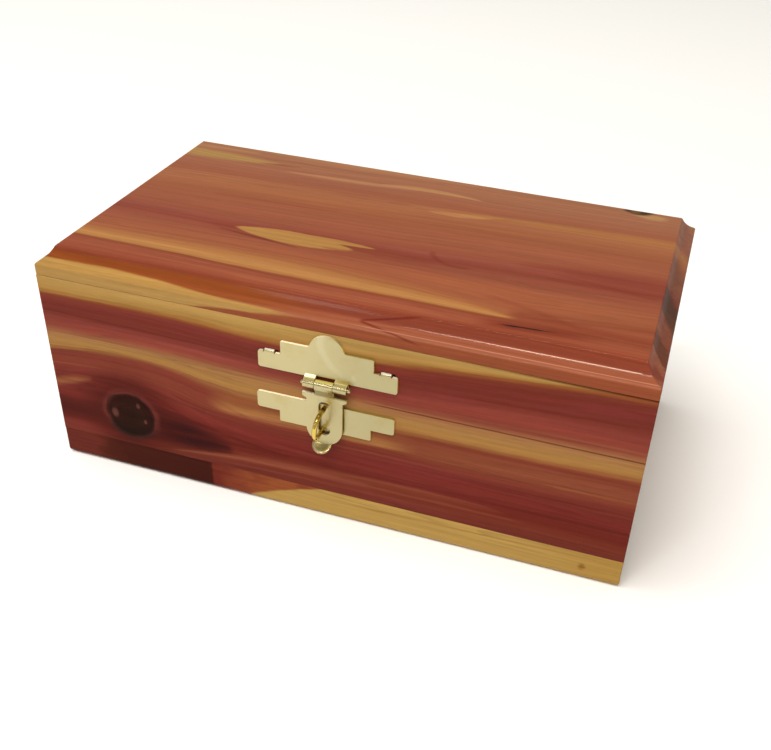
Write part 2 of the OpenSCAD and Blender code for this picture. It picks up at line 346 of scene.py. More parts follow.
FRONT_TONES = [
    (74, "#bb8f52"), (71.5, "#b68a4c"), (69.2, "#a9793f"), (68.0, "#95552f"), (66.8, "#7f3a2c"),
    (64, "#78332a"), (61, "#77342a"), (59.4, "#7e382d"), (57, "#893f35"), (54.5, "#8b4234"),
    (52.6, "#96533b"), (50.6, "#a46e45"), (48, "#ac7a45"), (45.4, "#a97640"), (44.2, "#9c6239"),
    (43.2, "#8f5232"), (41.2, "#8e4f32"), (39.9, "#9b6138"), (39.0, "#a86c3f"), (37.6, "#a76d40"),
    (36.6, "#8d4831"), (35.4, "#80392c"), (31, "#79342a"), (27, "#782f28"), (23, "#712d25"),
    (19.5, "#6e2b22"), (16, "#793628"), (12, "#75342a"),
]

# streaks placed one by one: where each starts and ends, half its width, softness, bow, colour, strength
FRONT_STREAKS = [
    (((-104, 60.9), (-26, 59.2)), 0.25, 0.45, 0.0, "#6a2723", 0.7),
    (((-104, 55.8), (-20, 54.5)), 1.5, 1.3, 0.4, "#984638", 0.45),
    (((-60, 57.0), (-22, 55.0)), 0.6, 0.8, 0.0, "#9c4a44", 0.5),
    (((26, 64.8), (104, 69.5)), 0.5, 0.7, 0.4, "#6a2922", 0.5),
    (((28, 60.2), (100, 62.8)), 0.5, 0.9, 0.2, "#6c2a24", 0.5),
    (((22, 55.2), (104, 56.6)), 1.4, 1.4, 0.2, "#934234", 0.6),
    (((40, 53.0), (104, 53.6)), 0.4, 0.6, 0.0, "#7d382b", 0.6),
    (((20, 41.6), (120, 42.0)), 0.7, 0.9, 0.0, "#7b372b", 0.6),
    (((14, 38.6), (120, 39.2)), 1.5, 1.4, 0.0, "#8f4b34", 0.8),
    (((22, 36.4), (108, 37.0)), 0.6, 0.8, 0.0, "#95523a", 0.5),
    (((26, 33.4), (112, 34.0)), 0.9, 0.9, 0.0, "#8c4833", 0.5),
    (((-8, 31.2), (90, 31.8)), 0.4, 0.7, 0.3, "#8a4434", 0.4),
    (((28, 22.0), (112, 22.8)), 0.5, 0.8, 0.0, "#632420", 0.45),
    (((-99, 36.0), (-38, 26.0)), 0.8, 1.2, 8.5, "#8c3a32", 0.45),
    (((-94, 34.0), (-46, 24.0)), 0.5, 0.9, 7.6, "#64241f", 0.5),
    (((-112, 27.5), (-86, 36.0)), 1.5, 1.3, 0.6, "#9d5c3b", 0.8),
    (((-124, 20.5), (-78, 21.5)), 4.2, 3.4, 0.0, "#4a1d18", 0.8),
    (((-76, 22.2), (-33, 19.0)), 6.0, 4.0, 0.6, "#371611", 0.95),
    (((-60, 21.0), (-12, 20.8)), 1.0, 1.4, 0.6, "#5c231d", 0.6),
    (((-62, 30.5), (-10, 21.6)), 0.5, 0.9, -1.2, "#5a1f1b", 0.6),
    (((-66, 44.4), (-22, 32.0)), 0.5, 0.9, 1.6, "#8c4234", 0.5),
    (((-36, 18.0), (64, 19.6)), 1.3, 1.3, 0.6, "#8a4630", 0.55),
    (((-20, 16.2), (70, 17.4)), 0.4, 0.7, 0.5, "#95523a", 0.5),
    (((-56, 34.0), (10, 24.0)), 0.6, 1.0, -2.6, "#8a3a32", 0.45),
    (((-104, 15.0), (-62, 12.8)), 1.0, 1.4, 0.0, "#7a3028", 0.6),
    (((-58, 12.6), (18, 17.6)), 0.8, 1.0, 1.8, "#95503a", 0.85),
    (((-44, 15.6), (60, 20.6)), 0.5, 0.7, 1.6, "#8b4634", 0.7),
    (((-40, 12.8), (50, 14.4)), 0.5, 0.8, 0.8, "#8a4434", 0.4),
    (((4, 28.2), (104, 30.6)), 0.5, 1.0, 0.0, "#682620", 0.5),
    (((-14, 24.6), (80, 25.2)), 0.8, 1.2, 0.0, "#863a30", 0.4),
]

# the knot: its centre, the radius of its heart, its tones outwards, and (place, size) of its painted glints,
# light spots standing in for the lamps' reflections
KNOT = (-72.9, 23.9)
KNOT_R = 9.0
KNOT_LIGHT = (FRONT_LIGHT[0], 0.004)
KNOT_TONES = [
    (0, "#2e1a10"), (5, "#31190c"), (7.6, "#33170c"), (8.5, "#38190f"), (9.3, "#622a22"),
    (10.8, "#6c2d26"), (11.8, "#51211a"), (12.4, "#4b1d17"),
]
KNOT_PAINTED_GLINTS = [((-79.2, 23.6), 2.6), ((-69.6, 28.4), 1.5), ((-67.4, 22.2), 1.3)]


def front_bands(g, x, level, colour):
    """Sapwood bands that turn brown, or are lost in the red, towards the ends of the wall."""
    brown = g.rise(x, 66, 100) * g.rise(level, 67.6, 68.4)
    colour = cover(g, colour, brown * 0.9, "#8a4c2c", FRONT_LIGHT)
    lost_left = (1 - g.rise(x, -44, -33)) * g.band(level, 36.4, 43.0, 0.9, 1.0)
    colour = cover(g, colour, lost_left * 0.95, "#80392d", FRONT_LIGHT)
    lost_right = g.rise(x, 18, 34) * g.band(level, 36.8, 43.2, 0.7, 0.8)
    colour = cover(g, colour, lost_right * 0.9, "#85402e", FRONT_LIGHT)
    blush = g.rise(g.noise(x * 0.015, level * 0.22, 7.0), 0.55, 0.75)
    return cover(g, colour, blush * 0.30, "#8a3a3c", FRONT_LIGHT)


def front_joint_shade(g, x, z, colour):
    """Painted shade along the lid's saw cut, faint at the left and stronger to the right, and under the top
    board's edge to the right.
    """
    cut = 1 - g.rise(abs(z - SAW_CUT), 0.1, 0.4)
    eave = g.rise(z, WALL_TOP - 0.7, WALL_TOP - 0.1) * g.rise(x, 30, 80)
    # painted shade: darker in the saw cut and along the seam under the top board
    joint_shade = g.math("MAXIMUM", cut * (0.05 + g.rise(x, 10, 24) * 0.6), eave * 0.75)
    return cover(g, colour, joint_shade, "#4a1f18", FRONT_LIGHT)


def front_knot(g, x, z, colour):
    """A dark glassy heart with painted glints, a red rim and a dark surround: the colour, where the heart
    is, and its dents.
    """
    wobble = (g.noise(x * 0.12, z * 0.12, 1.0) - 0.5) * 1.8
    r = radius(g, x, z, KNOT, 1.06) + wobble
    surround = 1 - g.rise(r, 9.5, 23)
    colour = cover(g, colour, surround * 0.75, "#4f1f1a", FRONT_LIGHT)
    rings = g.noise(r * 0.9, x * 0.06, z * 0.06, detail=3.0) - 0.5
    knot = g.ramp(r + rings * 1.6, tones(KNOT_TONES, KNOT_LIGHT), 0, 12.5)
    knot = g.dim(knot, 1 + rings * 0.8)
    knot = cover(g, knot, (1 - g.rise(z, 15, 24)) * 0.7, "#21170d", KNOT_LIGHT)
    colour = g.mix(1 - g.rise(r, KNOT_R, KNOT_R + 3.0), colour, knot)
    # painted highlights: soft light spots on the glassy heart
    for place, size in KNOT_PAINTED_GLINTS:
        painted_glint = 1 - g.rise(radius(g, x, z, place, 0.7) + wobble * 0.4, size * 0.3, size)
        colour = cover(g, colour, painted_glint * 0.6, "#77483e", FRONT_LIGHT)
    heart = 1 - g.rise(r, KNOT_R - 1.5, KNOT_R)
    dents = g.noise(x * 0.16, z * 0.16, 2.0, detail=1.0) - 0.5
    return colour, heart, heart * dents * 8


def cedar_front():
    """The front wall, sawn from one board, so the figure runs on across the lid's saw cut."""
    g = Graph("cedar_front")
    x, y, z = g.position()
    depth = y - FRONT_Y
    drift = g.noise(x * 0.018, z * 0.11, depth * 0.08) - 0.5
    waver = g.noise(x * 0.08, z * 0.8, depth * 0.4, detail=3.0) - 0.5
    across = z + drift * 1.2 + waver * 0.9 + depth * 0.25
    level = g.flow(x, across, FRONT_LINES, (-HALF_W, HALF_W), (0, BOX_H))
    shuffle = g.noise(x * 0.02, level * 0.9, depth * 0.3, detail=3.0) - 0.5
    colour = g.ramp(level + shuffle * 2.0, tones(FRONT_TONES, FRONT_LIGHT), 10, 76)
    colour = front_bands(g, x, level, colour)
    colour = streaked(g, colour, x, across, FRONT_LIGHT, FRONT_STREAKS)
    colour = front_joint_shade(g, x, z, colour)
    colour, heart, dents = front_knot(g, x, z, colour)
    return cedar_finish(g, colour, x, level, depth, 0, relief=dents, shine=heart * 0.22,
                        lacquer=0.05 - heart * 0.04)


# the plain boards' colours, from heartwood to sapwood
PLAIN_TONES = [
    (0.28, "#6f2c24"), (0.40, "#7c3529"), (0.47, "#873d2f"), (0.53, "#91493a"), (0.58, "#9a5a40"),
    (0.63, "#ac7a46"), (0.72, "#b88c50"),
]

# the bottom board's front edge: the dark stretch at its left, the red one in its middle, and a pin knot
BOTTOM_LEFT = [(-100, "#6b2d24"), (-90, "#6c2e25"), (-84, "#54251b"), (-76, "#4a2119"), (-45, "#471f18")]
BOTTOM_MIDDLE = [(-42, "#742f24"), (-34, "#87402b"), (-20, "#98502f")]
PIN_KNOT = (88.9, 5.2)


def bottom_sapwood(g, x, z, depth, drift, waver, colour):
    """Sapwood from a slanting edge to the right end, with a brown line, a darker end and a pin knot."""
    slope = x - z * 1.2 - z * z * 0.12 - depth * 0.8 + drift * 8 + waver * 3
    colour = cover(g, colour, g.rise(slope, -30.5, -27.5), "#bb914f", FRONT_LIGHT)
    from_line = abs(z - 7.6 - (x - 20) * 0.022 + waver * 1.2)
    line = (1 - g.rise(from_line, 0.1, 0.7)) * g.rise(x, 0, 20)
    colour = cover(g, colour, line * 0.45, "#9a6a34", FRONT_LIGHT)
    colour = cover(g, colour, g.rise(x, 60, 104) * 0.45, "#a87a36", FRONT_LIGHT)
    fleck = 1 - g.rise(radius(g, x, z, PIN_KNOT) + waver * 1.8, 0.3, 1.8)
    return cover(g, colour, fleck * 0.8, "#8a5a24", FRONT_LIGHT)


def bottom_inside(g, x, depth, waver):
    """Behind its front edge the board is plain, with its streaks running along it."""
    course = g.noise(x * 0.012, depth * 0.05, 2.0) - 0.5
    across = (depth + course * 18 + waver * 0.8) * 0.07
    bands = g.noise(4.4, across, x * 0.004, detail=3.0, rough=0.55)
    return g.ramp(bands, tones(PLAIN_TONES, FRONT_LIGHT), 0.2, 0.8)


def cedar_bottom():
    """The bottom board: dark at the left, red, and then sapwood to the right."""
    g = Graph("cedar_bottom")
    x, y, z = g.position()
    depth = y - FRONT_Y
    drift = g.noise(x * 0.02, z * 0.15, depth * 0.05) - 0.5
    waver = g.noise(x * 0.12, z * 1.1, depth * 0.5) - 0.5
    mottle = g.noise(x * 0.09, z * 0.16, depth * 0.1 + 4, detail=3.0) - 0.5
    left = g.ramp(x + waver * 5 + mottle * 16, tones(BOTTOM_LEFT, FRONT_LIGHT), -102, -40)
    middle = g.ramp(x + mottle * 14, tones(BOTTOM_MIDDLE, FRONT_LIGHT), -44, -10)
    colour = g.mix(g.rise(x + waver - depth * 0.15, -43.2, -42.2), left, middle)
    flush = g.rise(mottle, 0.02, 0.2) * g.rise(x, -44, -40)
    colour = cover(g, colour, flush * 0.5, "#7a3427", FRONT_LIGHT)
    colour = bottom_sapwood(g, x, z, depth, drift, waver, colour)
    inside = g.rise(depth + waver * 2, 2.0, 8.0)
    colour = g.mix(inside, colour, bottom_inside(g, x, depth, waver))
    return cedar_finish(g, colour, x, z + drift, depth, 0)


# the top board's grain: each line's level, and its points as (across the board, distance from the front)
TOP_LINES = [
    (-12, [(-101.6, -11), (101.6, -11)]),
    (0, [(-101.6, 0), (101.6, 0)]),
    (15, [(-101.6, 15.9), (-60, 15.6), (-30, 14.5), (0, 13.9), (45, 13.9), (60, 14.4), (101.6, 13.2)]),
    (23, [(-101.6, 23.2), (-30, 24.6), (0, 23.8), (30, 20.8), (45, 18.4), (56, 15.8), (66, 17),
          (101.6, 22)]),
    (41, [(-101.6, 41.5), (-50, 40.6), (0, 41), (30, 43), (60, 44.5), (101.6, 45)]),
    (79, [(-101.6, 74.5), (-60, 77), (-15, 78.5), (30, 80.4), (60, 81.4), (101.6, 82.6)]),
    (96, [(-101.6, 96.5), (-50, 93.4), (-27, 94), (-8, 95.7), (12, 96.2), (30, 94.5), (101.6, 97)]),
    (115, [(-101.6, 115), (101.6, 115)]),
]
# the lowest stops fall on the front edge and cove: lighter near the lip as a painted sheen of the light in
# the lacquer, and darker on the cove's steeper upper part as painted shade
TOP_TONES = [
    (-12, "#ae6a50"), (-1.9, "#ac684e"), (-1.0, "#a05c43"), (0.9, "#a15c45"), (1.8, "#8e4a3a"),
    (5, "#8b4838"), (6, "#9a4e39"), (9.5, "#a35941"), (13, "#9c543e"), (14.6, "#8e4a34"),
    (15.4, "#b77c49"), (17.5, "#be8450"), (19.5, "#b57a49"), (22, "#aa6a44"), (25, "#a45f42"),
    (33, "#9f5a42"), (38, "#96513f"), (41, "#8f4839"), (44, "#975041"), (50, "#9d5841"),
    (57, "#a05c43"), (66, "#9e5b40"), (72, "#a46343"), (77, "#a96848"), (81, "#a86747"),
    (85, "#9d5c43"), (92, "#a2644a"), (100, "#a56a4e"), (106, "#a56b4e"), (114, "#ad7a56"),
]
TOP_STREAKS = [
    (((-62, 39.8), (26, 40.6)), 4.5, 4.5, 0.0, "#863d31", 0.55),
    (((-54, 37.8), (-22, 33.2)), 0.5, 0.7, 0.0, "#6f3022", 0.75),
    (((-49.5, 40.8), (-4.0, 38.6)), 4.6, 0.5, -0.1, "#b4824a", 1.0),
    (((-34, 42.4), (2.5, 42.4)), 1.5, 0.5, 0.3, "#b27f49", 1.0),
    (((-64, 8.4), (54, 7.9)), 2.0, 1.5, 0.0, "#ab6146", 0.6),
    (((6, 31.0), (104, 29.5)), 3.5, 4.0, 0.0, "#ab6546", 0.5),
    (((66, 18.6), (112, 19.6)), 1.4, 1.8, 0.0, "#a35c42", 0.6),
    (((-10.5, 40.6), (16, 40.2)), 1.0, 0.6, 0.0, "#8f4a37", 0.9),
    (((-16, 37.0), (4, 37.4)), 1.2, 0.9, 0.0, "#9a5a3e", 0.6),
    (((14, 112.0), (86, 110.5)), 2.4, 1.6, 0.0, "#7c4638", 0.7),
    (((-40, 46.2), (-14, 45.6)), 0.3, 0.6, 0.0, "#8a4634", 0.5),
    (((-130, 97.4), (-56, 98.0)), 3.6, 1.6, 0.0, "#b2884f", 0.9),
    (((-66, 96.6), (-48, 98.4)), 0.9, 0.7, 0.0, "#8d4e36", 0.6),
    (((-54, 92.4), (2, 95.0)), 1.3, 0.9, -0.6, "#b67d57", 0.9),
    (((30, 112.6), (76, 109.6)), 1.3, 1.2, 0.0, "#7a3b34", 0.7),
    (((62, 50.0), (116, 47.0)), 4.5, 3.0, 0.0, "#8a4335", 0.5),
    (((-16, 94.8), (26, 94.4)), 1.5, 0.8, 1.8, "#bb8659", 0.95),
    (((-104, 104.6), (-68, 105.6)), 1.4, 1.3, 0.0, "#b5855a", 0.6),
    (((-80, 107.8), (24, 107.6)), 1.8, 1.4, 0.0, "#b58059", 0.65),
    (((8, 79.2), (37, 83.2)), 1.6, 0.8, -1.6, "#bd8552", 0.95),
    (((0, 81.2), (17, 81.0)), 0.5, 0.7, 0.0, "#b2744e", 0.8),
    (((20, 81.6), (140, 84.8)), 3.2, 2.4, 0.0, "#b07446", 0.7),
    (((-140, 72.6), (30, 79.6)), 2.6, 2.6, 0.0, "#aa6a48", 0.45),
    (((46, 50.2), (150, 56.8)), 4.0, 3.6, 0.0, "#8a4136", 0.6),
    (((60, 47.8), (96, 42.2)), 0.8, 1.4, 0.0, "#863d32", 0.6),
    (((58, 43.6), (104, 46.8)), 0.7, 1.4, -1.4, "#863d32", 0.5),
    (((12, 29.4), (84, 25.4)), 0.8, 1.6, 2.4, "#a9603f", 0.7),
    (((-12, 33.0), (70, 29.0)), 0.6, 1.4, 2.0, "#96513b", 0.6),
    (((42, 24.4), (76, 15.2)), 1.0, 1.6, 1.6, "#8a4232", 0.45),
    (((52, 17.4), (110, 13.0)), 1.0, 1.6, 1.0, "#8c4233", 0.5),
    (((-70, 63.4), (-18, 65.6)), 1.0, 1.8, 0.0, "#94503a", 0.5),
    (((-104, 9.6), (-30, 8.4)), 0.4, 0.8, 0.0, "#84402f", 0.5),
]

# the rear knot's patches: centre, stretch along the grain, inner and outer radius, colour and strength
REAR_KNOT = [
    ((86.0, 104.8), 2.4, 1.4, 3.2, "#b98a5c", 0.85),
    ((80.8, 108.8), 1.6, 2.6, 4.2, "#4b3222", 0.95),
    ((79.6, 107.6), 1.4, 0.6, 2.2, "#7b5b39", 0.9),
]

# patches on the right end's cove: distance from the front, half length, colour and strength
END_PATCHES = [
    (96.0, 16.0, "#985f4b", 0.7),
    (62.0, 14.0, "#86523f", 0.7),
    (40.0, 13.0, "#543b2f", 0.85),
    (27.0, 6.0, "#91503f", 0.7),
    (15.0, 7.0, "#6a3f30", 0.8),
    (9.0, 1.6, "#a5684f", 0.7),
    (6.6, 0.8, "#a5684f", 0.6),
]

# the wedge of sapwood on the front edge: its two sides, as (across the board, distance round the cove)
WEDGE_UPPER = [
    (-101.6, 8.8), (-78, 9.0), (-62, 8.3), (-50, 7.2), (-35, 5.7), (-20, 5.0), (-8, 4.4), (101.6, 4),
]
WEDGE_LOWER = [
    (-101.6, -2), (-55, -1.2), (-45, 0.4), (-35, 1.7), (-20, 2.9), (-8, 3.6), (101.6, 4),
]

# the dark hook's centre and radius, and the tip of the arrow on the cove
HOOK = (30.5, 49.5)
HOOK_R = 9.3
ARROW_TIP = (10.5, 8.0)


def band_end(g, x, level, waver, colour):
    """The long band ends at its right in a point, and the red closes round it."""
    past = g.rise(x + waver * 5, 51, 57) * g.band(level, 14, 25.5, 0.8, 2.5)
    return cover(g, colour, past, "#95503a", TOP_LIGHT)


def dark_hook(g, x, across, waver, colour):
    """Part of a dark ring to the right of the eye."""
    ring = abs(radius(g, x, across, HOOK, 1.15) - HOOK_R + waver * 1.2)
    corner = (1 - g.rise(x + across, 72.5, 76.5)) * (1 - g.rise(across, 47, 49.5))
    return cover(g, colour, (1 - g.rise(ring, 0.2, 1.5)) * corner * 0.4, "#7c3428", TOP_LIGHT)


def rear_knot(g, x, from_front, drift, waver, colour):
    """The small dark knot near the back right corner."""
    for place, stretch, inner, outer, code, strength in REAR_KNOT:
        r = radius(g, x, from_front, place, stretch) + waver * 1.6 + drift
        colour = cover(g, colour, (1 - g.rise(r, inner, outer)) * strength, code, TOP_LIGHT)
    return colour


def front_crack(g, x, from_front, waver, colour):
    """A short crack in front of the long band, with a stain round it: the colour, and where the crack is."""
    from_line = abs(from_front - 10.3 - (x - 60) * 0.07 + waver * 1.6)
    crack = g.band(x, 53, 67, 3, 4) * (1 - g.rise(from_line, 0.10, 0.50))
    stain = g.band(x, 47, 78, 6, 10) * (1 - g.rise(from_line, 0.5, 4.0))
    colour = cover(g, colour, stain * 0.6, "#7d3327", TOP_LIGHT)
    return cover(g, colour, crack * 0.95, "#2c1510", TOP_LIGHT), crack


def front_edge(g, x, from_front, profile, waver, colour):
    """The front edge and cove: a wedge of sapwood with rust above it, and a dark arrow to its right."""
    upright = 1 - g.rise(profile, 3.4, 4.2)
    colour = cover(g, colour, upright, "#944b2f", FRONT_LIGHT)
    rust = g.band(profile, 6, 13.5, 1.5, 1.5) * (1 - g.rise(x, -30, 8)) * (1 - g.rise(from_front, 4.6, 5.4))
    colour = cover(g, colour, rust * 0.8, "#93502f", TOP_LIGHT)
    span = (-HALF_W, HALF_W)
    upper = g.curve(x, WEDGE_UPPER, span, (0, 12))
    lower = g.curve(x, WEDGE_LOWER, span, (-4, 8))
    under = 1 - g.rise(profile - upper + waver * 0.9, -0.6, 0.7)
    above = g.rise(profile - lower + waver, -0.7, 0.5)
    wedge = under * above * (1 - g.rise(x, -22, -6))
    colour = cover(g, colour, wedge, "#bb8e52", TOP_LIGHT)
    colour = cover(g, colour, wedge * upright, "#b18449", FRONT_LIGHT)
    past_tip = x - ARROW_TIP[0]
    rising = abs(profile - ARROW_TIP[1] - past_tip * 0.34)
    falling = abs(profile - ARROW_TIP[1] + past_tip * 0.28)
    arrow = 1 - g.rise(g.math("MINIMUM", rising, falling) + waver * 0.5, 0.1, 0.9)
    return cover(g, colour, arrow * g.band(x, 11, 29, 1.0, 4) * 0.6, "#6e2a1c", TOP_LIGHT)


def painted_edge_shine(g, x, from_front, profile, waver, colour):
    """Painted highlights: bright lines along the cove and its lip where the lacquer catches the light, more
    to the right.
    """
    # painted highlight along the middle of the cove
    glow = g.band(profile + waver * 0.2, 8.95, 9.3, 0.12, 0.12) * g.band(x, 50, 95.2, 28, 0.6)
    colour = cover(g, colour, glow * (0.75 + waver), "#eebfa2", TOP_LIGHT)
    # painted highlight along the lip
    lip = g.band(profile, 5.45, 5.8, 0.2, 0.15) * g.rise(x, 2, 20) * (1 - g.rise(from_front, 1.6, 2.2))
    return cover(g, colour, lip * 0.55, "#dc9782", TOP_LIGHT)


def end_cove(g, x, from_front, waver, colour):
    """The right end's cove cuts through the streaks and shows them as patches."""
    on_cove = g.rise(x, HALF_W - 5.6, HALF_W - 4.9)
    lean = from_front - (HALF_W - x) * 1.2 + waver * 8
    for place, half, code, strength in END_PATCHES:
        patch = 1 - g.rise(abs(lean - place), half * 0.4, half)
        colour = cover(g, colour, patch * on_cove * strength, code, TOP_LIGHT)
    return colour


def cedar_top():
    """The top board, with its long streaks and the yellow eye near the middle."""
    g = Graph("cedar_top")
    x, y, z = g.position()
    from_front = y - FRONT_Y
    below = z - BOX_H
    profile = from_front + (z - WALL_TOP)
    drift = g.noise(x * 0.014, y * 0.06, below * 0.1) - 0.5
    waver = g.noise(x * 0.07, y * 0.55, below * 0.4, detail=3.0) - 0.5
    across = from_front + drift * 1.4 + waver * 0.9
    level = g.flow(x, across + below * 0.5, TOP_LINES, (-HALF_W, HALF_W), (-12, BOX_D + 1))
    shuffle = g.noise(x * 0.012, level * 0.45, below * 0.3, detail=3.0) - 0.5
    colour = g.ramp(level + shuffle * 2.4, tones(TOP_TONES, TOP_LIGHT), -12, 115)
    colour = band_end(g, x, level, waver, colour)
    colour = streaked(g, colour, x, across, TOP_LIGHT, TOP_STREAKS)
    colour = dark_hook(g, x, across, waver, colour)
    colour = rear_knot(g, x, from_front, drift, waver, colour)
    colour, crack = front_crack(g, x, from_front, waver, colour)
    colour = front_edge(g, x, from_front, profile, waver, colour)
    colour = painted_edge_shine(g, x, from_front, profile, waver, colour)
    colour = end_cove(g, x, from_front, waver, colour)
    return cedar_finish(g, colour, x, level, below, 0, relief=crack * -6.0, ring_bite=0.13, lacquer=0.16,
                        lacquer_rough=0.10, end_tone=0.72)


def cedar_wall(name, end_axis, seed):
    """A plain wall board: long streaks of heartwood with a little sapwood."""
    g = Graph(name)
    place = g.position()
    along = place[end_axis]
    depth = place[1 - end_axis]
    z = place[2]
    drift = g.noise(along * 0.012 + seed, z * 0.05, depth * 0.05) - 0.5
    waver = g.noise(along * 0.09, z * 0.7, depth * 0.4 + seed) - 0.5
    level = z + drift * 16 + waver * 0.6 + depth * 0.2
    bands = g.noise(seed * 1.7, level * 0.075, along * 0.004, detail=3.0, rough=0.55)
    colour = g.ramp(bands, tones(PLAIN_TONES, FRONT_LIGHT), 0.2, 0.8)
    return cedar_finish(g, colour, along, level, depth, end_axis)


# ---- brass ----

BRASS_RELIEF = 0.04 * MM

# places on the hasp where its brass differs: lowest and highest of each part, the prongs' middle and
# half their distance apart, and (across, height) of the two painted reflections on the upper plate
BARREL = (53.4, 57.3)
NECK = (51.2, 53.9)
SHELF = (55.8, 57.4)
PRONGS = (61.0, 66.0)
PRONGS_MIDDLE = 1.2
PRONGS_HALF = 17.0
REFLECTION_ARC = (10.5, 70.5)
REFLECTION_ARC_R = 11.0
HIGHLIGHT_SPOT = (10.3, 59.6)


def painted_reflections(g, x, z, smear, pits):
    """Painted reflections on the hasp's upper plate: a pale curved streak and a small bright spot."""
    from_arc = abs(radius(g, x, z, REFLECTION_ARC) - REFLECTION_ARC_R + (smear - 0.5) * 4)
    arc_reflection = (1 - g.rise(from_arc, 0.4, 1.7)) * (1 - g.rise(x, 3, 8)) * g.rise(z, 57, 60)
    spot_highlight = 1 - g.rise(radius(g, x, z, HIGHLIGHT_SPOT, 0.7) + (pits - 0.5) * 1.5, 0.3, 1.6)
    return g.math("MAXIMUM", arc_reflection, spot_highlight)


def rolled_sheet(g, y, z):
    """Where the sheet is rolled round the hasp pin, without the flat top behind the roll."""
    roll = g.band(z, *BARREL, 0.2, 0.2) * (1 - g.rise(y, FRONT_Y - 1.7, FRONT_Y - 1.3))
    flat_top = g.rise(g.facing(2), 0.8, 0.95) * g.rise(z, 56.2, 56.6)
    return roll * (1 - flat_top)


def rim_colour_and_highlights(g, x, z, code):
    """The sheet's cut edges, with painted highlights on those that face upwards: pale at the left and on the
    two prongs, golden over the barrel, and darker gold to the right.
    """
    # painted highlights on the upward-facing edges, pale at the left and darker gold to the right
    upward_highlight = g.mix(g.rise(x, -7, 8), linear("#fff6d8"), paint("#a38b42", TOP_LIGHT))
    upward_highlight = cover(g, upward_highlight, g.band(z, *SHELF, 0.1, 0.1), "#dcc868", TOP_LIGHT)
    outward = g.rise(abs(x - PRONGS_MIDDLE), PRONGS_HALF, PRONGS_HALF + 0.4)
    prong = g.band(z, *PRONGS, 0.2, 0.2) * outward
    upward_highlight = cover(g, upward_highlight, prong, "#efe9cf", TOP_LIGHT)
    return g.mix(g.rise(g.facing(2), 0.35, 0.7), linear(code), upward_highlight)


def neck_shade(g, x, y, z):
    """Where the strap's neck lies in the barrel's shade."""
    front = g.rise(g.facing(1), 0.8, 0.95) * (1 - g.rise(y, FRONT_Y - 1.7, FRONT_Y - 1.5))
    return g.band(z, *NECK, 0.3, 0.2) * front * g.rise(x, -3.2, -2.0)


def brass(name, code, rough, haze, edge_code=None):
    """Bright plated sheet or wire, with faint smears, fine scratches and pits, painted reflections and
    painted shade to the right. Sheet has an edge colour with painted highlights.
    """
    g = Graph(name)
    x, y, z = g.position()
    smear = g.noise(x * 0.14, y * 0.14, z * 0.14, detail=3.0, rough=0.55)
    scratch = g.noise(x * 0.5, y * 8, z * 8)
    pits = g.noise(x * 1.6, y * 1.6, z * 1.6)
    red, green, blue = linear(code)
    warm = [red * 0.95, green * 0.88, blue * 0.72]
    pale = [red * 1.15, green * 1.18, blue * 1.35]
    dull = g.rise(smear, 0.48, 0.75) * 0.6 + g.rise(pits, 0.70, 0.78) * 0.3
    colour = g.mix(dull, (red, green, blue), warm)
    # painted reflections: the plate paler along a curved streak and at a small spot
    colour = g.mix(painted_reflections(g, x, z, smear, pits) * 0.55, colour, pale)
    # painted shade: the brass darker towards the right
    colour = g.dim(colour, 1 - g.rise(x, -10, 16) * 0.16)
    metallic = 1.0
    barrel = 0.0
    if edge_code:
        barrel = rolled_sheet(g, y, z)
        edge = (1 - g.rise(g.facing(1), 0.6, 0.95)) * (1 - barrel) * g.rise(z, 33.8, 34.8)
        metallic = 1 - edge * 0.85
        colour = g.mix(edge, colour, rim_colour_and_highlights(g, x, z, edge_code))
        colour = g.mix(neck_shade(g, x, y, z) * 0.8, colour, linear("#7a7148"))
    height = (scratch * 0.3 + smear * 3.0 + pits * 0.3) * (1 - barrel * 0.9)
    return g.finish(
        base_color=colour,
        metallic=metallic,
        roughness=rough + (smear - 0.5) * haze + (scratch - 0.5) * 0.06 - barrel * 0.08,
        normal=g.bump(height, BRASS_RELIEF, 0.5),
    )


# ---- dress the CAD nodes ----

# gap that is welded, and how much is eased off the edges of each kind of piece
WELD_GAP = 0.002 * MM
WALL_EDGE = 0.12 * MM
FOOT_EDGE = 0.24 * MM
TOP_EDGE = 0.4 * MM
BRASS_EDGE = 0.12 * MM
SHEET_EDGE = 0.25 * MM


def soften(thing, width):
    """Joined faces, eased edges and smooth curves, without touching the CAD mesh's points."""
    weld = thing.modifiers.new("weld", "WELD")
    weld.merge_threshold = WELD_GAP
    bevel = thing.modifiers.new("eased_edges", "BEVEL")
    bevel.width = width
    bevel.segments = 2
    bevel.limit_method = "ANGLE"
    bevel.angle_limit = math.radians(30)
    bevel.harden_normals = False
    bevel.use_clamp_overlap = True
    thing.data.polygons.foreach_set("use_smooth", [True] * len(thing.data.polygons))
    smooth = thing.modifiers.new("even_shading", "WEIGHTED_NORMAL")
    smooth.keep_sharp = True


def dress(nodes, material, width):
    """Give CAD nodes their material and eased edges."""
    for node in nodes:
        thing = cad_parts[node]
        thing.data.materials.clear()
        thing.data.materials.append(material)
        soften(thing, width)


dress(["base_front", "lid_front"], cedar_front(), WALL_EDGE)
dress(["bottom_board"], cedar_bottom(), FOOT_EDGE)
dress(["top_board"], cedar_top(), TOP_EDGE)
dress(["base_back", "lid_back"], cedar_wall("cedar_back", 0, 3.1), WALL_EDGE)
dress(["base_left", "lid_left"], cedar_wall("cedar_left", 1, 11.4), WALL_EDGE)
dress(["base_right", "lid_right"], cedar_wall("cedar_right", 1, 27.9), WALL_EDGE)

